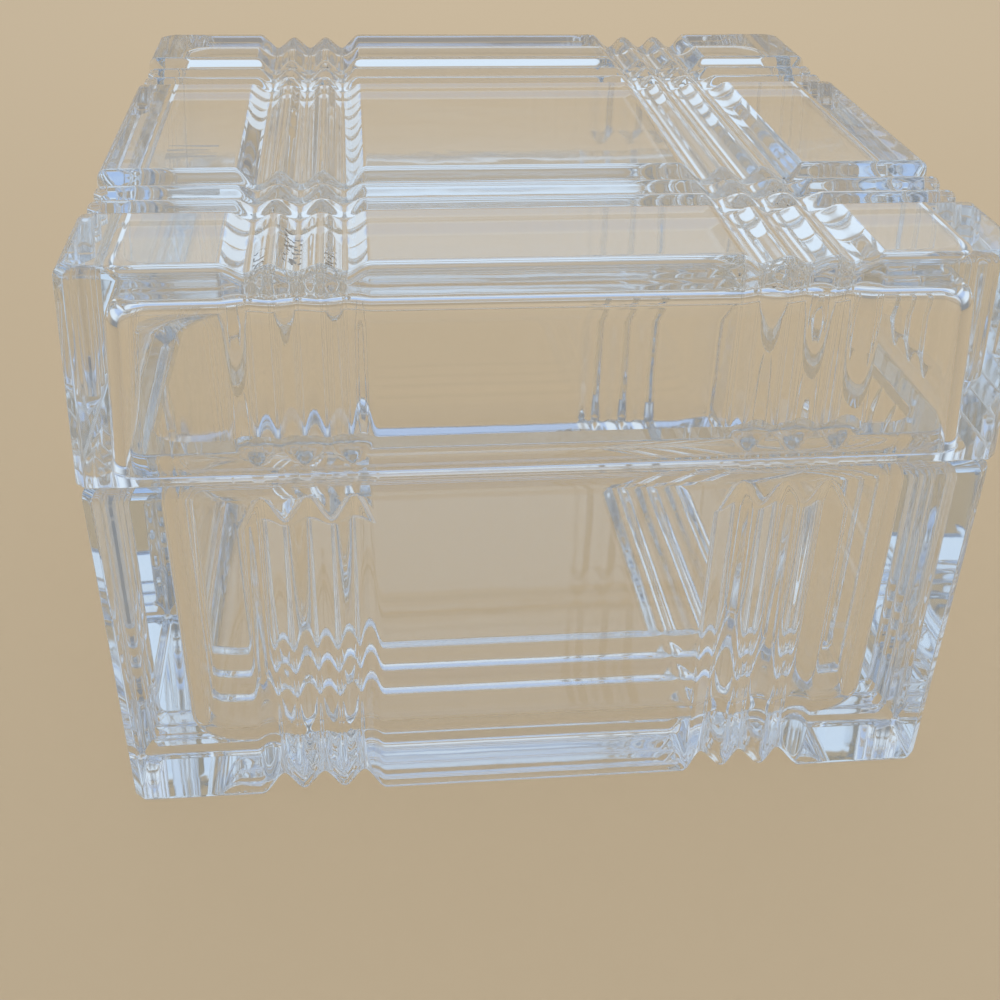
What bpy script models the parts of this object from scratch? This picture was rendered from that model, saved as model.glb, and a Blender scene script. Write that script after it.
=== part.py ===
"""Square trinket box of clear pressed glass, with a lift-off lid.

Two solid pieces of glass: a base with a deep pocket, and a lid that rests on
the shoulder round the base's raised lip. Bands of three V grooves run over
both pieces in a plaid pattern, and run out below the plain rims where the
pieces meet. Metres, +Z up. The origin is on the table under the middle of the
box, and the front faces -Y.
"""

import math

import bmesh
import bpy
from mathutils import Matrix, Vector

# Width over the lid's rim, the widest place, and what the other widths lose at each side
RIM_WIDTH = 0.1096
LID_OVERHANG = 0.00025
LID_DRAFT = 0.0008
BASE_DRAFT = 0.0008

LID_RIM_WIDTH = RIM_WIDTH
LID_TOP_WIDTH = LID_RIM_WIDTH - 2 * LID_DRAFT
BASE_RIM_WIDTH = RIM_WIDTH - 2 * LID_OVERHANG
FOOT_WIDTH = BASE_RIM_WIDTH - 2 * BASE_DRAFT

# Base
SHOULDER_HEIGHT = 0.0488
BASE_WALL = 0.0078
FLOOR_THICKNESS = 0.0045
BASE_INSIDE_RADIUS = 0.0050
FOOT_EDGE_RADIUS = 0.0010
SHOULDER_EDGE_RADIUS = 0.0018
LIP_HEIGHT = 0.0027
LIP_EDGE_RADIUS = 0.0006

# Lid
LID_HEIGHT = 0.0263
LID_RIM_WALL = 0.0037
LID_CEILING_WALL = 0.0042
CEILING_THICKNESS = 0.0054
LID_INSIDE_RADIUS = 0.0040
LID_TOP_EDGE_RADIUS = 0.0013
LID_RIM_EDGE_RADIUS = 0.0004

# Fit of the lid on the base
SEAT_GAP = 0.0003
LIP_CLEARANCE = 0.0005

# Upright corners of both pieces
CORNER_CHAMFER = 0.0013

# Grooves of the plaid, and how they run out below a plain rim
GROOVES_IN_BAND = 3
BAND_CENTRE = 0.0286
GROOVE_PITCH = 0.0054
GROOVE_DEPTH = 0.0018
BAND_FLANK = 0.0029
CREST_DROP = 0.0004
CREST_FLAT = 0.0014
LID_PLAIN_RIM = 0.0024
LID_RUNOUT = 0.0028
BASE_PLAIN_RIM = 0.0020
BASE_RUNOUT = 0.0042

# How far every cutter runs past the face it cuts
OVERRUN = 0.0020

# Points closer than this are one point, and heights closer than this are one height
SAME_PLACE = 0.000001

ROUND_STEPS = 6
EDGE_STEPS = 3
QUARTER_TURN = Matrix(((0, -1, 0, 0), (1, 0, 0, 0), (0, 0, 1, 0), (0, 0, 0, 1)))
GLASS_COLOUR = (0.93, 0.96, 1.0, 1.0)
GLASS_IOR = 1.5


def clear_scene():
    """Start from an empty file."""
    for old in list(bpy.data.objects):
        bpy.data.objects.remove(old, do_unlink=True)


def new_collection(name):
    """A collection of the scene."""
    group = bpy.data.collections.new(name)
    bpy.context.scene.collection.children.link(group)
    return group


def glass(name):
    """Clear glass, faintly cool, as the Principled shader has it."""
    material = bpy.data.materials.new(name)
    material.use_nodes = True
    shader = material.node_tree.nodes["Principled BSDF"]
    shader.inputs["Base Color"].default_value = GLASS_COLOUR
    shader.inputs["Metallic"].default_value = 0.0
    shader.inputs["Roughness"].default_value = 0.02
    shader.inputs["IOR"].default_value = GLASS_IOR
    shader.inputs["Transmission Weight"].default_value = 1.0
    material.diffuse_color = GLASS_COLOUR
    return material


def finish_mesh(shape, name, collection):
    """Turn a bmesh into an object of the collection."""
    bmesh.ops.recalc_face_normals(shape, faces=shape.faces)
    mesh = bpy.data.meshes.new(name)
    shape.to_mesh(mesh)
    shape.free()
    piece = bpy.data.objects.new(name, mesh)
    collection.objects.link(piece)
    return piece


def drafted_block(low_width, high_width, low, high):
    """A square block from height low to height high, wider at one end."""
    shape = bmesh.new()
    bmesh.ops.create_cube(shape, size=1.0)
    for corner in shape.verts:
        at_top = corner.co.z > 0.0
        width = high_width if at_top else low_width
        corner.co.x *= width
        corner.co.y *= width
        corner.co.z = high if at_top else low
    return shape


def at_height(corner, height):
    """Whether a corner lies at a height."""
    return math.isclose(corner.co.z, height, abs_tol=SAME_PLACE)


def level_with(edge, height):
    """Whether both ends of an edge lie at a height."""
    return all(at_height(corner, height) for corner in edge.verts)


def upright(edge):
    """Whether an edge climbs, rather than lying level."""
    first, second = edge.verts
    return not at_height(first, second.co.z)


def round_edges(shape, edges, size, steps):
    """Round the given edges, or chamfer them where steps is 1."""
    bmesh.ops.bevel(
        shape, geom=edges, offset=size, offset_type="OFFSET",
        segments=steps, profile=0.5, affect="EDGES", clamp_overlap=True,
    )


def outer_body(low_width, high_width, low, high, low_radius, high_radius):
    """The outside of a piece: chamfered corners, rounded end edges."""
    shape = drafted_block(low_width, high_width, low, high)
    corners = [edge for edge in shape.edges if upright(edge)]
    round_edges(shape, corners, CORNER_CHAMFER, 1)
    for height, radius in ((low, low_radius), (high, high_radius)):
        ends = [edge for edge in shape.edges if level_with(edge, height)]
        round_edges(shape, ends, radius, EDGE_STEPS)
    return shape


def pocket_body(low_width, high_width, low, high, closed_height, radius):
    """The inside of a piece, rounded everywhere but at its open end."""
    shape = drafted_block(low_width, high_width, low, high)
    rounded = [e for e in shape.edges if upright(e) or level_with(e, closed_height)]
    round_edges(shape, rounded, radius, ROUND_STEPS)
    return shape


def band_outline():
    """Section of one band's cutter, as (across, depth into the glass).

    The band's grooves are V shaped. The crests between them are flattened and
    lie a little under the face. The outer flanks run on straight past the face.
    """
    reach = (GROOVES_IN_BAND - 1) / 2 * GROOVE_PITCH
    points = []
    for index in range(GROOVES_IN_BAND):
        valley = index * GROOVE_PITCH - reach
        if index:
            crest = valley - GROOVE_PITCH / 2
            points.append((crest - CREST_FLAT / 2, CREST_DROP))
            points.append((crest + CREST_FLAT / 2, CREST_DROP))
        points.append((valley, GROOVE_DEPTH))
    edge = reach + BAND_FLANK * (GROOVE_DEPTH + OVERRUN) / GROOVE_DEPTH
    return [(-edge, -OVERRUN)] + points + [(edge, -OVERRUN)]


def band_prism(name, length, collection):
    """One band's grooves as a solid: X is across, +Y is depth, Z is length."""
    curve = bpy.data.curves.new(name, "CURVE")
    curve.dimensions = "2D"
    curve.fill_mode = "BOTH"
    curve.extrude = length / 2
    outline = band_outline()
    spline = curve.splines.new("POLY")
    spline.points.add(len(outline) - 1)
    for point, (across, depth) in zip(spline.points, outline):
        point.co = (across, depth, 0.0, 1.0)
    spline.use_cyclic_u = True

    drawn = bpy.data.objects.new(name, curve)
    collection.objects.link(drawn)
    graph = bpy.context.evaluated_depsgraph_get()
    mesh = bpy.data.meshes.new_from_object(drawn.evaluated_get(graph))
    bpy.data.objects.remove(drawn, do_unlink=True)

    shape = bmesh.new()
    shape.from_mesh(mesh)
    bpy.data.meshes.remove(mesh)
    bmesh.ops.remove_doubles(shape, verts=shape.verts, dist=SAME_PLACE)
    return shape


def level_cutter(name, width, collection):
    """The band across a level face, centred on the piece."""
    length = width + 2 * OVERRUN
    return finish_mesh(band_prism(name, length, collection), name, collection)


def side_cutter(name, face_length, plain_rim, runout, collection):
    """The band down a side face, from Z = 0 at the rim to past the far edge.

    Towards the rim it climbs out of the glass, so the grooves get shallower
    and narrower and end in points below the plain rim.
    """
    length = face_length + OVERRUN
    shape = band_prism(name, length, collection)
    bmesh.ops.translate(shape, verts=shape.verts, vec=(0.0, 0.0, length / 2))
    full_depth = plain_rim + runout
    everything = shape.verts[:] + shape.edges[:] + shape.faces[:]
    bmesh.ops.bisect_plane(
        shape, geom=everything, plane_co=(0.0, 0.0, full_depth), plane_no=(0.0, 0.0, 1.0),
        dist=SAME_PLACE,
    )
    for corner in shape.verts:
        if at_height(corner, 0.0):
            corner.co.y -= GROOVE_DEPTH * full_depth / runout
    return finish_mesh(shape, name, collection)


def placed(across, inward, along, origin):
    """Matrix that lays a cutter's X, Y and Z along the given directions."""
    turn = Matrix((across, inward, along)).transposed()
    return Matrix.Translation(origin) @ turn.to_4x4()


def side_frame(offset, rim_width, far_width, rim_height, far_height):
    """Frame of a band on the front face: its Z leads from the rim down the draft."""
    along = Vector((0.0, (rim_width - far_width) / 2, far_height - rim_height)).normalized()
    inward = along.cross(Vector((1.0, 0.0, 0.0)))
    if inward.y < 0.0:
        inward.negate()
    origin = Vector((offset, -rim_width / 2, rim_height))
    return placed(inward.cross(along), inward, along, origin)


def level_frame(offset, height, inward_z):
    """Frame of a band on a level face, running from front to back."""
    across = Vector((1.0, 0.0, 0.0))
    inward = Vector((0.0, 0.0, inward_z))
    return placed(across, inward, across.cross(inward), Vector((offset, 0.0, height)))


def as_cutter(piece):
    """Show a cutter as wire and keep it out of renders."""
    piece.display_type = "WIRE"
    piece.hide_render = True
    return piece


def combine(piece, other, operation):
    """Cut another piece out of this one, or join it on."""
    boolean = piece.modifiers.new(other.name, "BOOLEAN")
    boolean.operation = operation
    boolean.solver = "EXACT"
    boolean.object = as_cutter(other)


def cut_plaid(
    piece, name, rim_width, far_width, rim_height, far_height, plain_rim, runout, cutters
):
    """Cut the bands down all four sides, and both ways over the level far face."""
    face_length = math.hypot((rim_width - far_width) / 2, far_height - rim_height)
    inward_z = math.copysign(1.0, rim_height - far_height)
    for hand, offset in (("left", -BAND_CENTRE), ("right", BAND_CENTRE)):
        place = side_frame(offset, rim_width, far_width, rim_height, far_height)
        for quarter in range(4):
            cutter = side_cutter(
                f"{name}_side_{hand}_{quarter}", face_length, plain_rim, runout, cutters
            )
            cutter.matrix_world = place
            combine(piece, cutter, "DIFFERENCE")
            place = QUARTER_TURN @ place
        place = level_frame(offset, far_height, inward_z)
        for quarter in range(2):
            cutter = level_cutter(f"{name}_level_{hand}_{quarter}", rim_width, cutters)
            cutter.matrix_world = place
            combine(piece, cutter, "DIFFERENCE")
            place = QUARTER_TURN @ place


def smooth_rounds(piece):
    """Shade the rounded edges smooth. Weighing by area keeps the panels flat."""
    piece.data.shade_smooth()
    piece.modifiers.new("panel_normals", "WEIGHTED_NORMAL")


def drafted_width(closed_width, open_width, depth, height):
    """Width of a tapered pocket at a height above its closed end."""
    return closed_width + (open_width - closed_width) * height / depth


def lid_pocket_width(height):
    """Width of the lid's pocket at a height above the lid's rim."""
    open_width = LID_RIM_WIDTH - 2 * LID_RIM_WALL
    closed_width = LID_TOP_WIDTH - 2 * LID_CEILING_WALL
    depth = LID_HEIGHT - CEILING_THICKNESS
    return drafted_width(closed_width, open_width, depth, depth - height)


def base_lip(cutters):
    """The raised lip that centres the lid, as a block to join to the base."""
    top = SHOULDER_HEIGHT + LIP_HEIGHT
    width = lid_pocket_width(LIP_HEIGHT) - 2 * LIP_CLEARANCE
    shape = drafted_block(width, width, SHOULDER_HEIGHT - OVERRUN, top)
    corners = [edge for edge in shape.edges if upright(edge)]
    round_edges(shape, corners, LID_INSIDE_RADIUS, ROUND_STEPS)
    top_edges = [edge for edge in shape.edges if level_with(edge, top)]
    round_edges(shape, top_edges, LIP_EDGE_RADIUS, EDGE_STEPS)
    return finish_mesh(shape, "base_lip", cutters)


def base_pocket(cutters):
    """The space inside the base, from its floor to above the lip."""
    open_width = BASE_RIM_WIDTH - 2 * BASE_WALL
    closed_width = FOOT_WIDTH - 2 * BASE_WALL
    depth = SHOULDER_HEIGHT - FLOOR_THICKNESS
    height = depth + LIP_HEIGHT + OVERRUN
    shape = pocket_body(
        closed_width, drafted_width(closed_width, open_width, depth, height),
        FLOOR_THICKNESS, FLOOR_THICKNESS + height, FLOOR_THICKNESS, BASE_INSIDE_RADIUS,
    )
    return finish_mesh(shape, "base_pocket", cutters)


def make_base(parts, cutters):
    """The base: body, grooves, lip and pocket."""
    body = outer_body(
        FOOT_WIDTH, BASE_RIM_WIDTH, 0.0, SHOULDER_HEIGHT,
        FOOT_EDGE_RADIUS, SHOULDER_EDGE_RADIUS,
    )
    base = finish_mesh(body, "box_base", parts)
    cut_plaid(
        base, "base", BASE_RIM_WIDTH, FOOT_WIDTH, SHOULDER_HEIGHT, 0.0,
        BASE_PLAIN_RIM, BASE_RUNOUT, cutters,
    )
    combine(base, base_lip(cutters), "UNION")
    combine(base, base_pocket(cutters), "DIFFERENCE")
    smooth_rounds(base)
    return base


def make_lid(parts, cutters):
    """The lid: body, grooves and pocket. Its origin is on its lifting axis."""
    low = SHOULDER_HEIGHT + SEAT_GAP
    high = low + LID_HEIGHT
    body = outer_body(
        LID_RIM_WIDTH, LID_TOP_WIDTH, low, high,
        LID_RIM_EDGE_RADIUS, LID_TOP_EDGE_RADIUS,
    )
    bmesh.ops.translate(body, verts=body.verts, vec=(0.0, 0.0, -low))
    lid = finish_mesh(body, "box_lid", parts)
    lid.location = (0.0, 0.0, low)
    cut_plaid(
        lid, "lid", LID_RIM_WIDTH, LID_TOP_WIDTH, low, high,
        LID_PLAIN_RIM, LID_RUNOUT, cutters,
    )

    ceiling = high - CEILING_THICKNESS
    pocket = pocket_body(
        lid_pocket_width(-OVERRUN), lid_pocket_width(ceiling - low),
        low - OVERRUN, ceiling, ceiling, LID_INSIDE_RADIUS,
    )
    combine(lid, finish_mesh(pocket, "lid_pocket", cutters), "DIFFERENCE")
    smooth_rounds(lid)
    return lid


def main():
    clear_scene()
    parts = new_collection("glass_trinket_box")
    cutters = new_collection("cutters")
    base = make_base(parts, cutters)
    base.data.materials.append(glass("base_glass"))
    lid = make_lid(parts, cutters)
    lid.data.materials.append(glass("lid_glass"))


main()
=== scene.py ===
# %% [markdown]
# # A square box of pressed glass
#
# The real box is two thick pieces of clear glass: a deep base and a lid that
# lifts off. Grooved bands cross over both of them like the lines of a plaid
# cloth. Glass has no colour of its own to paint. All that the eye reads is
# where the surface turns, so nearly all of this lesson is about shape: how
# soft a groove is at its bottom and where it fades out.
#
# We start from a plain solid model of the box. It gives the true sizes and
# says which parts move. Everything after this is placed in its space.

# %% Load the plain model
import math

import bmesh
import bpy
from mathutils import Matrix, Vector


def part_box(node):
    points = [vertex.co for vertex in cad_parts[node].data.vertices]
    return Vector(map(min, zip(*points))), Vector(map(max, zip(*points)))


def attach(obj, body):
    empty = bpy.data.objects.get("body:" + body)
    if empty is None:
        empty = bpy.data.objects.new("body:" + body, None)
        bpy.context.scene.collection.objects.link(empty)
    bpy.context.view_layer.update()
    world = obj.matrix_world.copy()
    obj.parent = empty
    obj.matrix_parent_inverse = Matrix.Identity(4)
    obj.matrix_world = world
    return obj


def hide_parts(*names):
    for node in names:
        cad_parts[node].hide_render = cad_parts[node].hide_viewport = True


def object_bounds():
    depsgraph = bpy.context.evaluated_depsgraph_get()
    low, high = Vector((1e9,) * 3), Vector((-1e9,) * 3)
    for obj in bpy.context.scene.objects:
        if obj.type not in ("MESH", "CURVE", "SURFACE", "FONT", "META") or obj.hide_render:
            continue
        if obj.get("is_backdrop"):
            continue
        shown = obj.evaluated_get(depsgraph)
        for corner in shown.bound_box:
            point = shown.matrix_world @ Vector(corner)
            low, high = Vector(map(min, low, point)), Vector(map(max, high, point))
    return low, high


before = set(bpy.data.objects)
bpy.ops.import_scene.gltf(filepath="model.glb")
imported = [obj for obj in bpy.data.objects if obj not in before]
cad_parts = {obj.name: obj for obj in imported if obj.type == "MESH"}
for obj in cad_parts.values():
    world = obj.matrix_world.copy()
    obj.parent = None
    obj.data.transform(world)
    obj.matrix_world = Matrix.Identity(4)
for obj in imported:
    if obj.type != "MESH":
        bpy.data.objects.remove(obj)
plain_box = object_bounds()

# %% [markdown]
# ## The sizes of the two pieces
#
# The outer sizes are read off the plain model, so that the fine glass fills
# exactly the same space. Walls and roundings can't be read that way, and are
# named here. The lid is widest at its rim and the base at its shoulder,
# because a pressed piece needs a slight taper, its draft, to leave its mould.

# %% Outer sizes
MM = 0.001
DRAFT = 0.8 * MM
LIP_HEIGHT = 2.7 * MM

lid_low, lid_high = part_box("box_lid")
base_low, base_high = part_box("box_base")
LID_RIM, LID_TOP = lid_low.z, lid_high.z
LID_RIM_WIDTH = lid_high.x - lid_low.x
LID_TOP_WIDTH = LID_RIM_WIDTH - 2 * DRAFT
BASE_RIM_WIDTH = base_high.x - base_low.x
FOOT_WIDTH = BASE_RIM_WIDTH - 2 * DRAFT
LIP_TOP = base_high.z
SHOULDER = LIP_TOP - LIP_HEIGHT
print(f"lid {LID_RIM_WIDTH / MM:.1f} mm wide,",
      f"from {LID_RIM / MM:.1f} to {LID_TOP / MM:.1f} mm")
print(f"base {BASE_RIM_WIDTH / MM:.1f} mm wide, shoulder at {SHOULDER / MM:.1f} mm")

# %% Walls and roundings
LID_RIM_WALL = 3.7 * MM
LID_CEILING_WALL = 4.2 * MM
CEILING_THICKNESS = 5.4 * MM
LID_INSIDE_RADIUS = 4.0 * MM
CEILING_EDGE_HEIGHT = 3.4 * MM
CEILING_EDGE_INSET = 1.9 * MM
BASE_WALL = 7.8 * MM
FLOOR_THICKNESS = 4.5 * MM
BASE_CORNER_RADIUS = 4.5 * MM
BASE_INSIDE_RADIUS = 5.5 * MM
LIP_OUTER_WIDTH = 100.6 * MM
LIP_EDGE_RADIUS = 0.6 * MM

CORNER_CHAMFER = 1.3 * MM
LID_TOP_EDGE_RADIUS = 1.3 * MM
LID_RIM_EDGE_RADIUS = 0.3 * MM
FOOT_EDGE_RADIUS = 1.0 * MM
SHOULDER_EDGE_RADIUS = 1.8 * MM
POLISHED_EDGE = 0.22 * MM
print(f"walls {LID_RIM_WALL / MM:.1f} and {BASE_WALL / MM:.1f} mm thick")

# %% [markdown]
# ## Working in edit mode from a script
#
# An operator acts on whatever is selected, just as it does under the mouse.
# So each step is the same pair: pick faces or edges by where they are, then
# call the operator. These helpers do the picking. Coordinates are the real
# ones, because each piece has its place in its mesh.

# %% Pick by place
CLOSE = 0.01 * MM


def only(piece):
    """Select one piece and make it the active one."""
    bpy.ops.object.select_all(action="DESELECT")
    piece.select_set(True)
    bpy.context.view_layer.objects.active = piece


def near(value, target):
    return abs(value - target) < CLOSE


def pick(piece, kind, rule):
    """Select the visible vertices, edges or faces that a rule accepts."""
    bpy.ops.mesh.select_mode(type=kind)
    bpy.ops.mesh.select_all(action="DESELECT")
    shape = bmesh.from_edit_mesh(piece.data)
    group = {"VERT": shape.verts, "EDGE": shape.edges, "FACE": shape.faces}[kind]
    chosen = [element for element in group if not element.hide and rule(element)]
    for element in chosen:
        element.select_set(True)
    bmesh.update_edit_mesh(piece.data)
    return len(chosen)


# %% Tell edges apart
LEAST_CLIMB = 1.5 * MM


def at_height(edge, height):
    return all(near(vert.co.z, height) for vert in edge.verts)


def climbs(edge):
    """True for an upright edge, also one that leans with the draft."""
    first, second = edge.verts
    return abs(first.co.z - second.co.z) > LEAST_CLIMB


# %% Shape what is picked
ROUND_ARC = 0.5


def widen(factor):
    """Scale the selection about the box's axis."""
    bpy.ops.transform.resize(value=(factor, factor, 1.0),
                             center_override=(0.0, 0.0, 0.0))


def rounded(radius, segments):
    bpy.ops.mesh.bevel(offset=radius, segments=segments, profile=ROUND_ARC,
                       affect="EDGES")


def apply(piece, modifier):
    only(piece)
    bpy.ops.object.modifier_apply(modifier=modifier.name)


def combine(piece, other, operation):
    """Join another piece on, or cut it out, and remove it."""
    boolean = piece.modifiers.new(other.name, "BOOLEAN")
    boolean.operation = operation
    boolean.object = other
    apply(piece, boolean)
    bpy.data.objects.remove(other, do_unlink=True)


# %% Start a block
def add_block(name, low_width, high_width, low, high):
    """A square block at its real place, tapered by its top face, in edit mode."""
    bpy.ops.object.select_all(action="DESELECT")
    bpy.ops.mesh.primitive_cube_add(size=1.0, location=(0.0, 0.0, (low + high) / 2))
    block = bpy.context.object
    block.name = name
    block.data.name = name
    block.scale = (low_width, low_width, high - low)
    bpy.ops.object.transform_apply(location=True, rotation=False, scale=True)
    bpy.ops.object.mode_set(mode="EDIT")
    pick(block, "VERT", lambda vert: near(vert.co.z, high))
    widen(high_width / low_width)
    return block


print("helpers ready")

# %% [markdown]
# ## The outside of a piece
#
# The upright corners are cut flat and the two new edges softened. The top and
# bottom edges roll over. A bevel could roll them, but its width has to fit
# between the softened corner edges, which are only a fifth of a millimetre
# apart, and it would fold over itself there. Extruding the end face in small
# steps and shrinking it each time follows the same arc and can't fold.

# %% Cut the corners
FLAT_CUT = 1
POLISH_STEPS = 3


def cut_corners(piece):
    pick(piece, "EDGE", climbs)
    rounded(CORNER_CHAMFER, FLAT_CUT)
    pick(piece, "EDGE", climbs)
    rounded(POLISHED_EDGE, POLISH_STEPS)


# %% Roll the ends
LOW_END_STEPS = 5
HIGH_END_STEPS = 7


def roll_end(piece, start, end, width, inset, steps):
    """Roll the end face over a quarter ellipse, from one height to another."""
    pick(piece, "FACE", lambda face: near(face.calc_center_median().z, start))
    height, current = start, width
    for step in range(1, steps + 1):
        angle = math.pi / 2 * step / steps
        next_height = start + (end - start) * math.sin(angle)
        next_width = width - 2 * inset * (1 - math.cos(angle))
        bpy.ops.mesh.extrude_region()
        bpy.ops.transform.translate(value=(0.0, 0.0, next_height - height))
        widen(next_width / current)
        height, current = next_height, next_width


def width_at(height, low, high, low_width, high_width):
    """The width of a tapered piece at a height."""
    return low_width + (high_width - low_width) * (height - low) / (high - low)


def outer_body(name, low, high, low_width, high_width, low_radius, high_radius):
    """A tapered block with cut corners, and both of its ends rolled over."""
    low_start, high_start = low + low_radius, high - high_radius
    low_start_width = width_at(low_start, low, high, low_width, high_width)
    high_start_width = width_at(high_start, low, high, low_width, high_width)
    body = add_block(name, low_start_width, high_start_width, low_start, high_start)
    cut_corners(body)
    roll_end(body, low_start, low, low_start_width, low_radius, LOW_END_STEPS)
    roll_end(body, high_start, high, high_start_width, high_radius, HIGH_END_STEPS)
    bpy.ops.object.mode_set(mode="OBJECT")
    print(name, len(body.data.polygons), "faces")
    return body


# %% [markdown]
# ## The pocket and the lip
#
# The pocket is a block with rounded upright edges, and its closed end is
# rolled over like the outside. The lid's ceiling turns down in a tall narrow
# ellipse: that keeps the bright line along the ceiling thin and still gives
# the pocket its big soft corners. The block is cut out of the body while the
# body has few faces. Cut later, through hundreds of groove lines, the same
# operator would leave slivers that show as streaks.

# %% Rounded block
POCKET_STEPS = 12


def pocket_block(name, open_end, closed_end, open_width, closed_width,
                 corner, rise, inset):
    """A rounded block from an open end, up or down to a rolled closed end."""
    start = closed_end - math.copysign(rise, closed_end - open_end)
    start_width = width_at(start, open_end, closed_end, open_width, closed_width)
    ends = sorted([(open_end, open_width), (start, start_width)])
    block = add_block(name, ends[0][1], ends[1][1], ends[0][0], ends[1][0])
    pick(block, "EDGE", climbs)
    rounded(corner, POCKET_STEPS)
    roll_end(block, start, closed_end, start_width, inset, POCKET_STEPS)
    bpy.ops.object.mode_set(mode="OBJECT")
    return block


# %% The edge of a mouth
MOUTH_SLACK = 0.05 * MM
SHARP_TURN = 1.0


def soften_mouth(piece, height, width):
    """Round the inner edge of an open end, which is square to the pocket wall."""
    only(piece)
    bpy.ops.object.mode_set(mode="EDIT")
    reach = width / 2 + MOUTH_SLACK

    def on_mouth(edge):
        close = all(max(abs(v.co.x), abs(v.co.y)) < reach for v in edge.verts)
        sharp = edge.calc_face_angle(0.0) > SHARP_TURN
        return close and sharp and at_height(edge, height)

    picked = pick(piece, "EDGE", on_mouth)
    rounded(POLISHED_EDGE, POLISH_STEPS)
    bpy.ops.object.mode_set(mode="OBJECT")
    return picked


# %% Lid body
PAST = 2.0 * MM
ceiling = LID_TOP - CEILING_THICKNESS
lid_mouth = LID_RIM_WIDTH - 2 * LID_RIM_WALL
lid_ceiling_width = LID_TOP_WIDTH - 2 * LID_CEILING_WALL

lid = outer_body("lid_body", LID_RIM, LID_TOP, LID_RIM_WIDTH, LID_TOP_WIDTH,
                 LID_RIM_EDGE_RADIUS, LID_TOP_EDGE_RADIUS)
opening = width_at(LID_RIM - PAST, LID_RIM, ceiling, lid_mouth, lid_ceiling_width)
pocket = pocket_block("lid_pocket", LID_RIM - PAST, ceiling,
                      opening, lid_ceiling_width,
                      LID_INSIDE_RADIUS, CEILING_EDGE_HEIGHT, CEILING_EDGE_INSET)
combine(lid, pocket, "DIFFERENCE")
print("mouth edges", soften_mouth(lid, LID_RIM, lid_mouth))

# %% Base body with its lip
LIP_CORNER_STEPS = 8
LIP_EDGE_STEPS = 4

base = outer_body("base_body", 0.0, SHOULDER, FOOT_WIDTH, BASE_RIM_WIDTH,
                  FOOT_EDGE_RADIUS, SHOULDER_EDGE_RADIUS)
lip = add_block("lip", LIP_OUTER_WIDTH, LIP_OUTER_WIDTH, SHOULDER - PAST, LIP_TOP)
pick(lip, "EDGE", climbs)
rounded(LID_INSIDE_RADIUS, LIP_CORNER_STEPS)
pick(lip, "EDGE", lambda edge: at_height(edge, LIP_TOP))
rounded(LIP_EDGE_RADIUS, LIP_EDGE_STEPS)
bpy.ops.object.mode_set(mode="OBJECT")
combine(base, lip, "UNION")
print(base.name, len(base.data.polygons), "faces with the lip")


# %% Base pocket
def base_pocket_width(height):
    return width_at(height, FLOOR_THICKNESS, SHOULDER,
                    FOOT_WIDTH - 2 * BASE_WALL, BASE_RIM_WIDTH - 2 * BASE_WALL)


pocket = pocket_block("base_pocket", LIP_TOP + PAST, FLOOR_THICKNESS,
                      base_pocket_width(LIP_TOP + PAST),
                      base_pocket_width(FLOOR_THICKNESS),
                      BASE_CORNER_RADIUS, BASE_INSIDE_RADIUS, BASE_INSIDE_RADIUS)
combine(base, pocket, "DIFFERENCE")
print("mouth edges", soften_mouth(base, LIP_TOP, base_pocket_width(LIP_TOP)))

# %% [markdown]
# ## Where the grooves turn
#
# Each band is three V grooves side by side. To bend a flat face into grooves
# it needs lines along them: closest together in the valleys, and none on the
# flat panels. A few distances, repeated for each groove, give all the lines.

# %% Lines of a band
BAND_CENTRE = 28.6 * MM
GROOVE_PITCH = 5.4 * MM
GROOVE_DEPTH = 1.8 * MM
BAND_FLANK = 2.9 * MM

# Distances in millimetres from a valley, a crest and an edge of the band
VALLEY_STEPS = [-1.2, -0.8, -0.5, -0.3, -0.1, 0.1, 0.3, 0.5, 0.8, 1.2]
CREST_STEPS = [-1.1, -0.8, -0.5, -0.25, 0.0, 0.25, 0.5, 0.8, 1.1]
EDGE_STEPS = [-1.3, -0.9, -0.6, -0.3, 0.0, 0.2]

valleys = [BAND_CENTRE + step * GROOVE_PITCH for step in (-1, 0, 1)]
crests = [BAND_CENTRE + step * GROOVE_PITCH for step in (-0.5, 0.5)]
edges = [valleys[0] - BAND_FLANK, valleys[-1] + BAND_FLANK]
band_lines = [valley + step * MM for valley in valleys for step in VALLEY_STEPS]
band_lines += [crest + step * MM for crest in crests for step in CREST_STEPS]
band_lines += [edges[0] - step * MM for step in EDGE_STEPS]
band_lines += [edges[1] + step * MM for step in EDGE_STEPS]
print(len(band_lines), "lines for each band")

# %% [markdown]
# ## Laying the lines
#
# Bisect cuts the picked faces with a plane, like a cheese wire. The inside of
# the pocket is hidden first, since hidden faces are left uncut and the inside
# stays plain. Near the rim the grooves fade out over a few millimetres, so
# that stretch gets level lines of its own, and one just before it.

# %% Lay the lines
LID_PLAIN_RIM = 2.4 * MM
LID_RUNOUT = 2.8 * MM
BASE_PLAIN_RIM = 1.5 * MM
BASE_RUNOUT = 4.6 * MM
RUNOUT_LINES = 12
SLIVER = 0.012 * MM


def wire_cut(place, normal):
    bpy.ops.mesh.select_all(action="SELECT")
    bpy.ops.mesh.bisect(plane_co=place, plane_no=normal)


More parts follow.
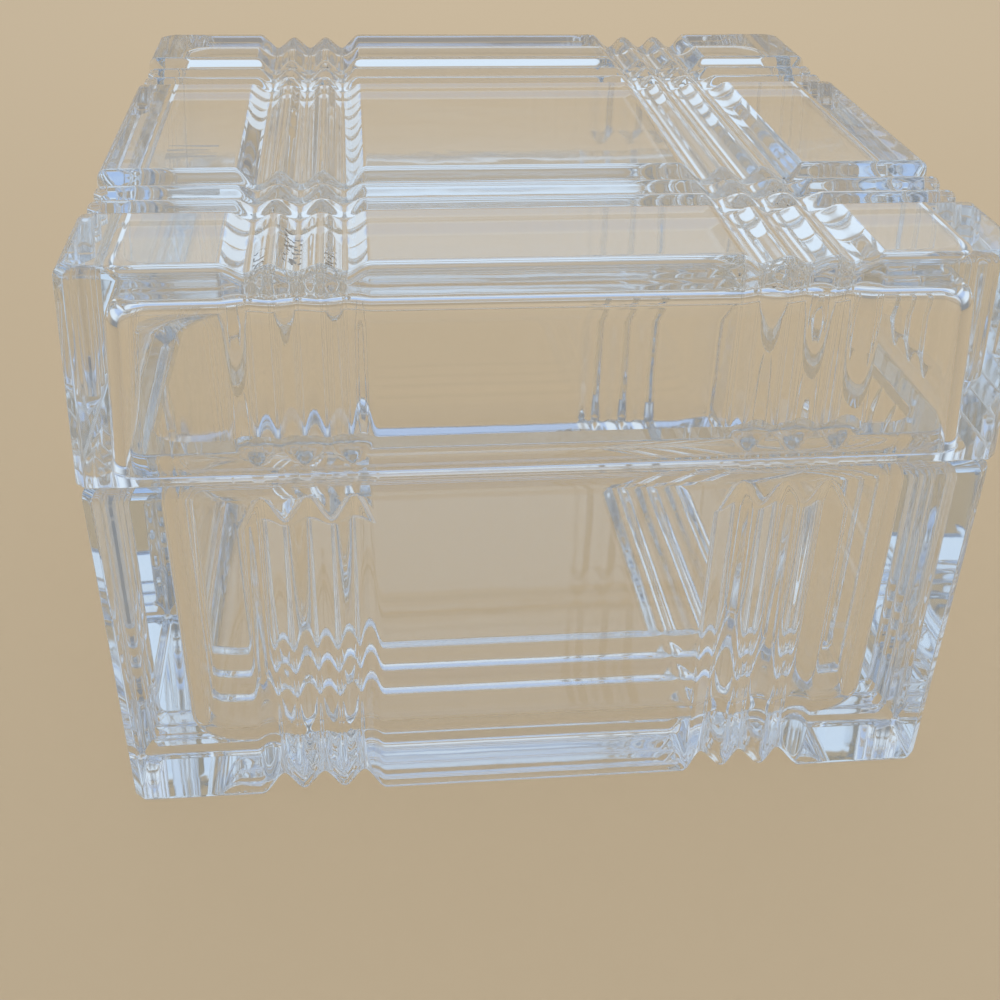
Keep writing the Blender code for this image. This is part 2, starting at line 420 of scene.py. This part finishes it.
def lay_lines(piece, is_inside, rim_height, towards_far, plain_rim, runout):
    """Cut the outside of a piece along all the lines, and merge slivers."""
    only(piece)
    bpy.ops.object.mode_set(mode="EDIT")
    pick(piece, "FACE", is_inside)
    bpy.ops.mesh.hide(unselected=False)
    for line in band_lines:
        for side in (-line, line):
            wire_cut((side, 0.0, 0.0), (1.0, 0.0, 0.0))
            wire_cut((0.0, side, 0.0), (0.0, 1.0, 0.0))
    for step in range(RUNOUT_LINES):
        from_rim = plain_rim + runout * (step - 1) / (RUNOUT_LINES - 2)
        wire_cut((0.0, 0.0, rim_height + towards_far * from_rim), (0.0, 0.0, 1.0))
    bpy.ops.mesh.reveal()
    bpy.ops.mesh.select_all(action="SELECT")
    bpy.ops.mesh.remove_doubles(threshold=SLIVER)
    bpy.ops.object.mode_set(mode="OBJECT")
    print(piece.name, len(piece.data.polygons), "faces")


# %% Lay them on both pieces
WALL_REACH = 2.0 * MM
FLOOR_REACH = 2.0 * MM
CEILING_REACH = 0.5 * MM


def between_walls(centre, width):
    return max(abs(centre.x), abs(centre.y)) < width / 2 - WALL_REACH


def inside_lid(face):
    centre = face.calc_center_median()
    return centre.z < ceiling + CEILING_REACH and between_walls(centre, LID_RIM_WIDTH)


def inside_base(face):
    centre = face.calc_center_median()
    return centre.z > FLOOR_REACH and between_walls(centre, FOOT_WIDTH)


lay_lines(lid, inside_lid, LID_RIM, 1, LID_PLAIN_RIM, LID_RUNOUT)
lay_lines(base, inside_base, SHOULDER, -1, BASE_PLAIN_RIM, BASE_RUNOUT)

# %% [markdown]
# ## How deep the glass is pressed
#
# One rule gives the depth across a band. Straight flanks would look ground,
# not pressed. Here each flank is an S curve: it leaves the valley at a slant,
# is steepest halfway and lands flat on the crest. How steep it gets matters
# more than it seems to, because lines seen through a flank are lifted by it
# and those seen through a crest aren't.

# %% Depth across a band
VALLEY_SLANT = 0.6
VALLEY_SOFTNESS = 0.22 * MM
CREST_DROP = 0.36 * MM


def along_flank(share):
    """From 0 at a valley to 1 at a crest, a cubic that starts at a slant."""
    share = min(share, 1.0)
    return (VALLEY_SLANT * (share ** 3 - 2 * share ** 2 + share)
            + 3 * share ** 2 - 2 * share ** 3)


def band_depth(across):
    """Depth over one axis of the plan, 0 outside the bands."""
    place = abs(across)
    distance = min(abs(place - valley) for valley in valleys)
    blunt = math.hypot(distance, VALLEY_SOFTNESS) - VALLEY_SOFTNESS
    if valleys[0] < place < valleys[-1]:
        reach, floor_depth = GROOVE_PITCH / 2 - VALLEY_SOFTNESS, CREST_DROP
    else:
        reach, floor_depth = BAND_FLANK - VALLEY_SOFTNESS, 0.0
    return GROOVE_DEPTH - (GROOVE_DEPTH - floor_depth) * along_flank(blunt / reach)


print("valley", round(band_depth(BAND_CENTRE) / MM, 2), "mm, crest",
      round(band_depth(crests[0]) / MM, 2), "mm, panel", band_depth(0.0))

# %% [markdown]
# ## Two bands crossing, and a groove running out
#
# Where two bands cross, the deeper one wins. A power blends them without
# lifting the flat panels, where both are zero. Down a side face the whole
# profile climbs out of the glass as it nears the rim. The valleys are the
# last to go, so each groove ends in a pointed arch.

# %% Depth on a level face and on a side face
CROSSING_POWER = 5.0
FACE_SOFTNESS = 0.25 * MM
CLIMB_SOFTNESS = 0.2


def eased(value, softness, full):
    """0 up to 0, a soft start, and the value itself again at full."""
    if value <= 0.0:
        return 0.0
    return value ** 2 * (full + softness) / (full * (value + softness))


def level_depth(x, y):
    both = band_depth(x) ** CROSSING_POWER + band_depth(y) ** CROSSING_POWER
    return both ** (1 / CROSSING_POWER)


def side_depth(across, from_rim, plain_rim, runout):
    share = (plain_rim + runout - from_rim) / runout
    climb = GROOVE_DEPTH * eased(share, CLIMB_SOFTNESS, 1.0)
    return eased(band_depth(across) - climb, min(FACE_SOFTNESS, climb), GROOVE_DEPTH)


print("crossing", round(level_depth(BAND_CENTRE, BAND_CENTRE) / MM, 2), "mm")
print("at the rim", side_depth(BAND_CENTRE, 0.0, LID_PLAIN_RIM, LID_RUNOUT), "mm")

# %% [markdown]
# ## Pressing the grooves
#
# A Displace modifier with no texture moves vertices by their weight in a
# vertex group, which is like painting the depth onto the glass. Each outer
# face gets a group and a modifier. An edge that rolls from one face to the
# next belongs to both groups and moves both ways, so its rounding survives
# where a groove runs over it. A weight can't pass 1, so 1 stands for a depth
# that is a little more than the deepest place.

# %% Paint and press
PRESS = 2.4 * MM


def paint_depths(piece, name, depth_of):
    group = piece.vertex_groups.new(name=name)
    painted = 0
    for vert in piece.data.vertices:
        depth = depth_of(vert.co)
        if depth > 0.0:
            group.add([vert.index], depth / PRESS, "REPLACE")
            painted += 1
    return painted


def press(piece, name, direction, strength):
    dent = piece.modifiers.new(name, "DISPLACE")
    dent.direction = direction
    dent.vertex_group = name
    dent.mid_level = 0.0
    dent.strength = strength
    apply(piece, dent)


# %% Press one piece all round
ROLL_SLACK = 0.02 * MM


def press_all(piece, rim_height, rim_width, far_height, far_width, far_radius,
              plain_rim, runout):
    """Grooves on the level far face and on the four drafted sides."""
    reach = far_radius + ROLL_SLACK

    def on_level(place):
        reached = abs(place.z - far_height) < reach
        return level_depth(place.x, place.y) if reached else 0.0

    def on_side(outward, across, height):
        width = width_at(height, far_height, rim_height, far_width, rim_width)
        reached = abs(width / 2 - outward) < reach
        from_rim = abs(height - rim_height)
        return side_depth(across, from_rim, plain_rim, runout) if reached else 0.0

    inward = math.copysign(1.0, rim_height - far_height)
    sides = {
        "front": ("Y", PRESS, lambda p: on_side(-p.y, p.x, p.z)),
        "back": ("Y", -PRESS, lambda p: on_side(p.y, p.x, p.z)),
        "left": ("X", PRESS, lambda p: on_side(-p.x, p.y, p.z)),
        "right": ("X", -PRESS, lambda p: on_side(p.x, p.y, p.z)),
        "level": ("Z", inward * PRESS, on_level),
    }
    for name, (_, _, depth_of) in sides.items():
        print(piece.name, name, paint_depths(piece, name, depth_of), "points")
    for name, (direction, strength, _) in sides.items():
        press(piece, name, direction, strength)


press_all(lid, LID_RIM, LID_RIM_WIDTH, LID_TOP, LID_TOP_WIDTH, LID_TOP_EDGE_RADIUS,
          LID_PLAIN_RIM, LID_RUNOUT)
press_all(base, SHOULDER, BASE_RIM_WIDTH, 0.0, FOOT_WIDTH, FOOT_EDGE_RADIUS,
          BASE_PLAIN_RIM, BASE_RUNOUT)

# %% [markdown]
# ## Smooth shading that keeps flat panels flat
#
# Smooth shading averages the directions of neighbouring faces, and a big flat
# panel beside a thin rounding would take some of its tilt. Seen through clear
# glass that bends the whole picture. The Weighted Normal modifier counts each
# face by its size, so the panels win.

# %% Shade
PANELS_WIN = 80

for piece in (lid, base):
    only(piece)
    bpy.ops.object.shade_smooth()
    weighted = piece.modifiers.new("flat panels", "WEIGHTED_NORMAL")
    weighted.weight = PANELS_WIN
    apply(piece, weighted)
    piece.vertex_groups.clear()
    print(piece.name, len(piece.data.polygons), "faces, shaded")

# %% [markdown]
# ## Writing shader maths as sums
#
# The glass finish is worked out with nodes. Wrapping a socket in a small
# class lets us write `1 - mask * 2` and get the Math nodes for it.

# %% Sockets that add up
class Value:
    def __init__(self, graph, socket):
        self.graph = graph
        self.socket = socket

    def sum(self, operation, first, second=0.0):
        return self.graph.node("ShaderNodeMath", {"operation": operation},
                               {0: first, 1: second})[0]

    def __add__(self, other):
        return self.sum("ADD", self, other)

    def __sub__(self, other):
        return self.sum("SUBTRACT", self, other)

    def __rsub__(self, other):
        return self.sum("SUBTRACT", other, self)

    def __mul__(self, other):
        return self.sum("MULTIPLY", self, other)

    def __lt__(self, other):
        return self.sum("LESS_THAN", self, other)

    def __gt__(self, other):
        return self.sum("GREATER_THAN", self, other)

    def __abs__(self):
        return self.sum("ABSOLUTE", self)

    __radd__ = __add__
    __rmul__ = __mul__

    def lower_of(self, other):
        return self.sum("MINIMUM", self, other)

    def higher_of(self, other):
        return self.sum("MAXIMUM", self, other)


# %% A graph of nodes
class Graph:
    """The nodes of a material or of the world. node() adds one, returns its outputs."""

    def __init__(self, tree):
        self.tree = tree

    def node(self, kind, settings, inputs):
        made = self.tree.nodes.new(kind)
        for setting, value in settings.items():
            setattr(made, setting, value)
        for key, value in inputs.items():
            self.feed(made.inputs[key], value)
        return [Value(self, socket) for socket in made.outputs]

    def feed(self, socket, value):
        if isinstance(value, Value):
            self.tree.links.new(value.socket, socket)
        else:
            socket.default_value = value


# %% Nodes that are needed more than once
def new_material(name):
    """A material with its graph and its ready-made shader node."""
    material = bpy.data.materials.new(name)
    material.use_nodes = True
    graph = Graph(material.node_tree)
    return material, graph, material.node_tree.nodes["Principled BSDF"]


def blend_colours(graph, share, first, second):
    """The first colour where the share is 0, the second where it is 1."""
    return graph.node("ShaderNodeMix", {"data_type": "RGBA"},
                      {0: share, 6: first, 7: second})[2]


def noise(graph, place, scale, detail):
    """A cloudy pattern from 0 to 1 that changes about as often as its scale."""
    return graph.node("ShaderNodeTexNoise", {}, {
        "Vector": place, "Scale": scale, "Detail": detail})[0]


print("graph ready")

# %% [markdown]
# ## Light that falls through
#
# Real glass gathers the light that falls through it into bright curls on the
# floor. Those take a renderer very long, and in light as soft as this none
# stand out. So light on its way to the floor passes straight through here and
# loses a little at each face. That leaves a faint even shade under the box.
# What the eye sees in the glass still bends as it should.

# %% Let light by
PASSED_AT_A_FACE = (0.985, 0.982, 0.978, 1.0)


def let_light_by(graph, shader):
    """Show the glass to the eye, and clear air to falling light."""
    path = graph.node("ShaderNodeLightPath", {}, {})
    is_shadow, is_diffuse = path[1], path[2]
    glass = Value(graph, shader.outputs["BSDF"])
    passing = graph.node("ShaderNodeBsdfTransparent", {}, {0: PASSED_AT_A_FACE})[0]
    both = graph.node("ShaderNodeMixShader", {}, {
        0: is_shadow.higher_of(is_diffuse), 1: glass, 2: passing})[0]
    graph.feed(graph.tree.nodes["Material Output"].inputs["Surface"], both)


# %% [markdown]
# ## Dirt and scratches
#
# A handled box keeps a few dark specks in its deepest places, and fine
# scratches on its top. Both come from noise: where it passes a level there is
# a speck, and the rest is clean. Noise that is stretched one way gives
# streaks. A mask from the place on the box says where each may show: stray
# specks where two bands cross, a cluster of them in one groove of the lid,
# and the scratches on one flat panel of its top.

# %% Where it is dirty
CROSSING_REACH = 7.5 * MM
SPECKED_X, SPECKED_Y = (-30.0 * MM, -28.0 * MM), (-49.5 * MM, -39.5 * MM)
SCRATCHED_X, SCRATCHED_Y = (-46.0 * MM, -39.5 * MM), (-17.0 * MM, -10.0 * MM)


def within(value, bounds):
    """1 between two bounds, 0 outside."""
    low, high = bounds
    return (value > low) * (value < high)


def at_crossings(x, y):
    """1 where two bands cross, by distance from the middles of the bands."""
    return ((abs(abs(x) - BAND_CENTRE) < CROSSING_REACH)
            * (abs(abs(y) - BAND_CENTRE) < CROSSING_REACH))


# %% Specks and streaks
GRAIN_SCALE = 1500.0
STREAK_SCALES = (60.0, 1500.0, 60.0)
STREAK_TURN = (0.0, 0.0, 0.6)
STRAY_LEVEL, SPECK_LEVEL, STREAK_LEVEL = 0.72, 0.55, 0.52
SPECK_STRENGTH, STREAK_STRENGTH = 0.8, 0.5


def soiled(graph, place):
    """1 where dirt covers the glass, 0 where it is clean."""
    x, y, z = graph.node("ShaderNodeSeparateXYZ", {}, {0: place})
    grains = noise(graph, place, GRAIN_SCALE, 2.0)
    stretched = graph.node("ShaderNodeMapping", {}, {
        0: place, "Rotation": STREAK_TURN, "Scale": STREAK_SCALES})[0]
    streaks = noise(graph, stretched, 1.0, 2.0)

    groove = within(x, SPECKED_X) * within(y, SPECKED_Y) * (z > ceiling)
    panel = within(x, SCRATCHED_X) * within(y, SCRATCHED_Y) * (z > ceiling)
    stray = (grains > STRAY_LEVEL) * at_crossings(x, y)
    specks = (grains > SPECK_LEVEL) * groove * SPECK_STRENGTH
    scratches = (streaks > STREAK_LEVEL) * panel * STREAK_STRENGTH
    return (stray + specks + scratches).lower_of(1.0)


# %% [markdown]
# ## The glass
#
# Old pressed glass is clear but never perfect. The mould and the flame leave
# its faces faintly wavy, which makes straight lines behind it tremble. That is
# a bump. Handling leaves a light haze in patches, which is roughness. Dirt
# covers the glass, so it has a colour and a roughness of its own, and the
# Metallic value keeps light from passing through it. Glass also swallows a
# little light on the way, more red than blue. A pane shows none of that, but
# light that runs the length of a wall before it leaves comes out grey, and
# that is what gives the corners their dark columns.

# %% Glass finish
IOR = 1.51
CLEAR = (0.999, 0.998, 0.994, 1.0)
DIRT = (0.22, 0.20, 0.18, 1.0)
ABSORBED = (0.0, 0.30, 0.60, 1.0)
ABSORBED_PER_METRE = 2.2

WAVE_SCALE, RIPPLE_SCALE, HAZE_SCALE = 55.0, 240.0, 38.0
WAVE_HEIGHT = 0.04 * MM
RIPPLE_SHARE = 0.12
HAZE_ROUGHNESS = 0.05
DIRT_ROUGHNESS = 0.4


def pressed_glass(name):
    material, graph, shader = new_material(name)
    place = graph.node("ShaderNodeTexCoord", {}, {})[3]

    waves = noise(graph, place, WAVE_SCALE, 1.0)
    ripples = noise(graph, place, RIPPLE_SCALE, 1.0)
    bump = graph.node("ShaderNodeBump", {}, {
        "Strength": 1.0, "Distance": WAVE_HEIGHT,
        "Height": waves + ripples * RIPPLE_SHARE})[0]
    haze = noise(graph, place, HAZE_SCALE, 3.0)
    soil = soiled(graph, place)

    graph.feed(shader.inputs["Base Color"], blend_colours(graph, soil, CLEAR, DIRT))
    graph.feed(shader.inputs["Metallic"], soil)
    graph.feed(shader.inputs["Roughness"],
               haze * HAZE_ROUGHNESS + soil * DIRT_ROUGHNESS)
    graph.feed(shader.inputs["Normal"], bump)
    shader.inputs["IOR"].default_value = IOR
    shader.inputs["Transmission Weight"].default_value = 1.0
    let_light_by(graph, shader)

    inside = graph.node("ShaderNodeVolumeAbsorption", {}, {
        "Color": ABSORBED, "Density": ABSORBED_PER_METRE})[0]
    graph.feed(graph.tree.nodes["Material Output"].inputs["Volume"], inside)
    return material


# %% Give both pieces their glass
for piece, body, node, slot in ((lid, "lid", "box_lid", "lid_glass"),
                                (base, "base", "box_base", "base_glass")):
    piece.data.materials.clear()
    piece.data.materials.append(pressed_glass(f"pressed_glass_{body}"))
    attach(piece, body)
    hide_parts(node)
    print(piece.name, "rides on", body)

# %% [markdown]
# ## The floor
#
# The glass shows whatever is behind it, so the floor is half of its look. A
# plain pale beige makes clear glass read warm in its flats and cool only
# where a facet catches the light. It lies a hair below the box, so that the
# two never share a face.

# %% Floor
FLOOR_DROP = 0.2 * MM
FLOOR_SIZE = 6.0
FLOOR_COLOUR = (0.555, 0.445, 0.30, 1.0)
FLOOR_ROUGHNESS = 0.7
FLOOR_GLOSS = 0.2

bpy.ops.object.select_all(action="DESELECT")
bpy.ops.mesh.primitive_plane_add(size=FLOOR_SIZE, location=(0.0, 0.0, -FLOOR_DROP))
floor = bpy.context.object
floor.name = "floor"
floor_material, _, floor_shader = new_material("pale_floor")
floor_shader.inputs["Base Color"].default_value = FLOOR_COLOUR
floor_shader.inputs["Roughness"].default_value = FLOOR_ROUGHNESS
floor_shader.inputs["Specular IOR Level"].default_value = FLOOR_GLOSS
floor.data.materials.append(floor_material)
floor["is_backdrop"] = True
print("floor laid")

# %% [markdown]
# ## Light
#
# Every facet shows a piece of the room, so clear glass needs a room to show.
# Here it is a soft gradient. Behind the box it goes from the floor's beige at
# the horizon to a pale sky, and to a deeper blue straight up. The camera's
# side is a dim grey, as the side of a room away from its window is. Only rays
# that meet the camera, a reflection or the inside of the glass see it. The
# light that falls on the floor is plain white, so that the floor keeps the
# colour that it was given. One broad lamp behind the box lights the far side
# of the floor more than the near side. Glass doesn't show the lamp, only the
# room.

# %% Where the room changes
world = bpy.data.worlds.new("studio")
bpy.context.scene.world = world
world.use_nodes = True
room = Graph(world.node_tree)
direction = room.node("ShaderNodeTexCoord", {}, {})[0]
_, backward, upward = room.node("ShaderNodeSeparateXYZ", {}, {0: direction})


def ramp_share(value, start, end):
    """0 before the start, 1 past the end, and a smooth rise between."""
    return room.node("ShaderNodeMapRange", {"interpolation_type": "SMOOTHSTEP"}, {
        0: value, 1: start, 2: end, 3: 0.0, 4: 1.0})[0]


is_high = ramp_share(upward, 0.62, 0.76)
is_above = ramp_share(upward, 0.24, 0.38)
is_beyond = ramp_share(backward, -0.60, 0.20)
is_behind = ramp_share(backward, 0.1, 0.8)
print("room", world.name)

# %% The colours of the room
PALE_SKY = (0.76, 0.88, 1.0, 1.0)
HIGH_SKY = (0.48, 0.63, 0.90, 1.0)
DIM_CEILING = (0.22, 0.24, 0.27, 1.0)
DIM_WALL = (0.25, 0.27, 0.29, 1.0)
FAR_HORIZON = (0.50, 0.42, 0.31, 1.0)
FALLING_LIGHT = (0.70, 0.70, 0.70, 1.0)

sky = blend_colours(room, is_high, PALE_SKY, HIGH_SKY)
overhead = blend_colours(room, is_beyond, DIM_CEILING, sky)
horizon = blend_colours(room, is_behind, DIM_WALL, FAR_HORIZON)
shown = blend_colours(room, is_above, horizon, overhead)

path = room.node("ShaderNodeLightPath", {}, {})
is_camera, is_glossy, is_transmission = path[0], path[3], path[6]
is_seen = (is_camera + is_glossy + is_transmission) > 0.5
background = world.node_tree.nodes["Background"]
room.feed(background.inputs["Color"],
          blend_colours(room, is_seen, FALLING_LIGHT, shown))
background.inputs["Strength"].default_value = 1.0

# %% The lamp
LAMP_PLACE = (0.08, 0.52, 0.72)
LAMP_TILT_DEGREES = (-34, 6, 0)
LAMP_SIZE = 0.8
LAMP_GLOW = 1.42

bpy.ops.object.light_add(type="AREA", location=LAMP_PLACE)
lamp = bpy.context.object
lamp.name = "window"
lamp.data.shape = "SQUARE"
lamp.data.size = LAMP_SIZE
lamp.data.energy = LAMP_GLOW * math.pi * LAMP_SIZE ** 2
lamp.rotation_euler = [math.radians(angle) for angle in LAMP_TILT_DEGREES]
lamp.visible_camera = False
lamp.visible_glossy = False
lamp.visible_transmission = False
print("lamp", round(lamp.data.energy, 1), "W")

# %% [markdown]
# ## The camera
#
# The camera is close, about 15 cm from the near edge of the lid. That is why
# the lid looks so much wider than the foot. Its place and tilt come from
# lining up the box's corners, so they are odd numbers. The focal length is
# given as a share of the picture's width.

# %% Camera
CAMERA_PLACE = (-0.02194, -0.19291, 0.13012)
CAMERA_TURN = 0.1145
CAMERA_TILT = 0.5445
CAMERA_ROLL = 0.0250
FOCAL_SHARE = 1.3742
SENSOR_WIDTH_MM = 36.0
NEAREST_SEEN = 0.01

lens = bpy.data.cameras.new("camera")
lens.sensor_width = SENSOR_WIDTH_MM
lens.lens = SENSOR_WIDTH_MM * FOCAL_SHARE
lens.clip_start = NEAREST_SEEN
camera = bpy.data.objects.new("camera", lens)
bpy.context.scene.collection.objects.link(camera)
camera.location = CAMERA_PLACE
turn = Matrix.Rotation(-CAMERA_TURN, 3, "Z")
tilt = Matrix.Rotation(math.pi / 2 - CAMERA_TILT, 3, "X")
roll = Matrix.Rotation(CAMERA_ROLL, 3, "Z")
camera.rotation_euler = (turn @ tilt @ roll).to_euler()
bpy.context.scene.camera = camera
print("camera", [round(value / MM) for value in camera.location], "mm")

# %% [markdown]
# ## Finish
#
# Colours should come out as they are written, so the view transform is the
# plain one. Thick glass needs many bends of a ray before it leaves, and too
# few would leave black patches.

# %% View
MOST_BENDS = 40
MOST_FACES_PASSED = 24

scene = bpy.context.scene
scene.view_settings.view_transform = "Standard"
scene.cycles.max_bounces = MOST_BENDS
scene.cycles.transmission_bounces = MOST_BENDS
scene.cycles.glossy_bounces = MOST_BENDS
scene.cycles.transparent_max_bounces = MOST_FACES_PASSED
print("at most", MOST_BENDS, "bends of a ray")

# %% Size
fine_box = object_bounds()
for name, (low, high) in (("plain", plain_box), ("fine", fine_box)):
    print(name, [round((b - a) / MM, 2) for a, b in zip(low, high)], "mm")
